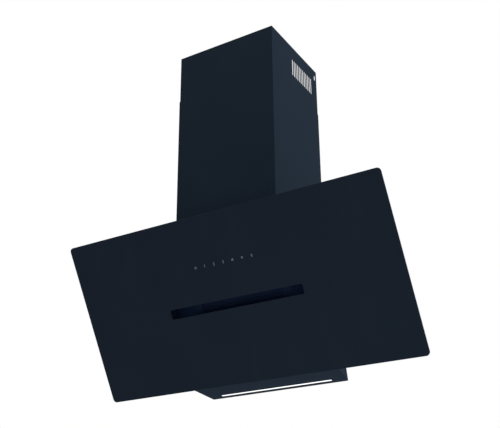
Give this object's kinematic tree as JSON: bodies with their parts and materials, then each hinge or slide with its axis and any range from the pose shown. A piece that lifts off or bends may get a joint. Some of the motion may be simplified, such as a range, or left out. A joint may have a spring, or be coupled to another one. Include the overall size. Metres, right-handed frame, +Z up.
{
  "type": "chimney range hood",
  "caption": "Wall chimney range hood: inclined dark glass front with a central intake slot and touch symbols, tapered steel housing, lamp strip below, sliding two-part chimney.",
  "frame": {"origin": "on the wall plane, centred left to right, level with the back edge of the housing's underside", "axes": "+Z up, +Y into the wall, +X along the wall; the glass front faces -Y and down"},
  "size_m": [0.895, 0.3327, 0.9166],
  "materials": {
    "black_glass": "back-painted, polished",
    "symbol_print": "printed, satin",
    "black_steel": "powder coat, satin",
    "inner_steel": "powder coat, matte",
    "bright_steel": "zinc plated",
    "dark_steel": "laminated core, lacquered",
    "filter_aluminium": "anodised black, satin",
    "dark_plastic": "moulded, fine texture",
    "grey_plastic": "moulded",
    "diffuser_white": "frosted, lit",
    "board_green": "solder mask",
    "copper_winding": "enamelled wire",
    "gold_pad": "conductive foam",
    "black_rubber": "moulded",
    "foam": "closed-cell foam",
    "cap_white": "moulded"
  },
  "bodies": {
    "housing": {"hinge_body_left": "bright_steel", "hinge_body_right": "bright_steel", "hinge_body_screws": "bright_steel", "hinge_pins": "bright_steel", "back_panel": "inner_steel", "top_panel": "black_steel", "bottom_panel": "black_steel", "side_panel_left": "black_steel", "side_panel_right": "black_steel", "front_rim": "inner_steel", "front_panel": "inner_steel", "catch_magnets": "dark_steel", "door_bumpers": "black_rubber", "filter_frame": "filter_aluminium", "filter_mesh": "filter_aluminium", "filter_handle": "dark_plastic", "lamp_diffuser": "diffuser_white", "lamp_board": "cap_white", "lamp_housing": "bright_steel", "scroll_left": "dark_plastic", "scroll_right": "dark_plastic", "scroll_screws": "bright_steel", "motor_case": "bright_steel", "stator": "copper_winding", "motor_bearings": "bright_steel", "motor_bracket": "bright_steel", "motor_grommets": "black_rubber", "motor_screws": "bright_steel", "outlet_gasket": "foam", "outlet_collar": "dark_plastic", "flap_pins": "bright_steel", "top_screws": "bright_steel", "control_box": "grey_plastic", "control_cover": "grey_plastic", "power_board": "board_green", "capacitor": "cap_white", "terminal_box": "grey_plastic", "terminal_cover": "grey_plastic", "cable_gland": "dark_plastic", "wiring": "black_rubber", "wall_hooks": "bright_steel", "lower_chimney": "black_steel"},
    "front_door": {"glass_panel": "black_glass", "control_symbols": "symbol_print", "door_tray": "inner_steel", "touch_carrier": "dark_plastic", "touch_board": "board_green", "touch_pads": "gold_pad", "touch_cover": "dark_plastic", "touch_screws": "bright_steel", "hinge_door_left": "bright_steel", "hinge_door_right": "bright_steel", "hinge_door_screws": "bright_steel"},
    "chimney_slide": {"upper_chimney": "black_steel"},
    "rotor": {"impeller": "dark_plastic", "motor_shaft": "bright_steel", "rotor_core": "dark_steel"},
    "front_flap": {"flap_front": "dark_plastic"},
    "rear_flap": {"flap_back": "dark_plastic"},
    "latch": {"filter_latch": "dark_plastic"}
  },
  "joints": [
    {"name": "glass_front_hinge", "type": "hinge", "parent": "housing", "child": "front_door", "pos_m": [0, -0.30054, 0.35674], "axis": [-1, 0, 0], "range_deg": [0, 60]},
    {"name": "chimney_height", "type": "slide", "parent": "housing", "child": "chimney_slide", "axis": [0, 0, 1], "range_m": [-0.12, 0.16]},
    {"name": "fan_spin", "type": "hinge", "parent": "housing", "child": "rotor", "pos_m": [0, -0.115, 0.285], "axis": [1, 0, 0], "continuous": true},
    {"name": "front_flap_hinge", "type": "hinge", "parent": "housing", "child": "front_flap", "pos_m": [0, -0.0872, 0.398], "axis": [-1, 0, 0], "range_deg": [0, 80]},
    {"name": "rear_flap_hinge", "type": "hinge", "parent": "housing", "child": "rear_flap", "pos_m": [0, -0.0808, 0.398], "axis": [1, 0, 0], "range_deg": [0, 80]},
    {"name": "filter_latch_slide", "type": "slide", "parent": "housing", "child": "latch", "axis": [0, 0.512, -0.859], "range_m": [0, 0.005], "stiffness_N_per_m": 600, "springref_m": -0.004}
  ]
}
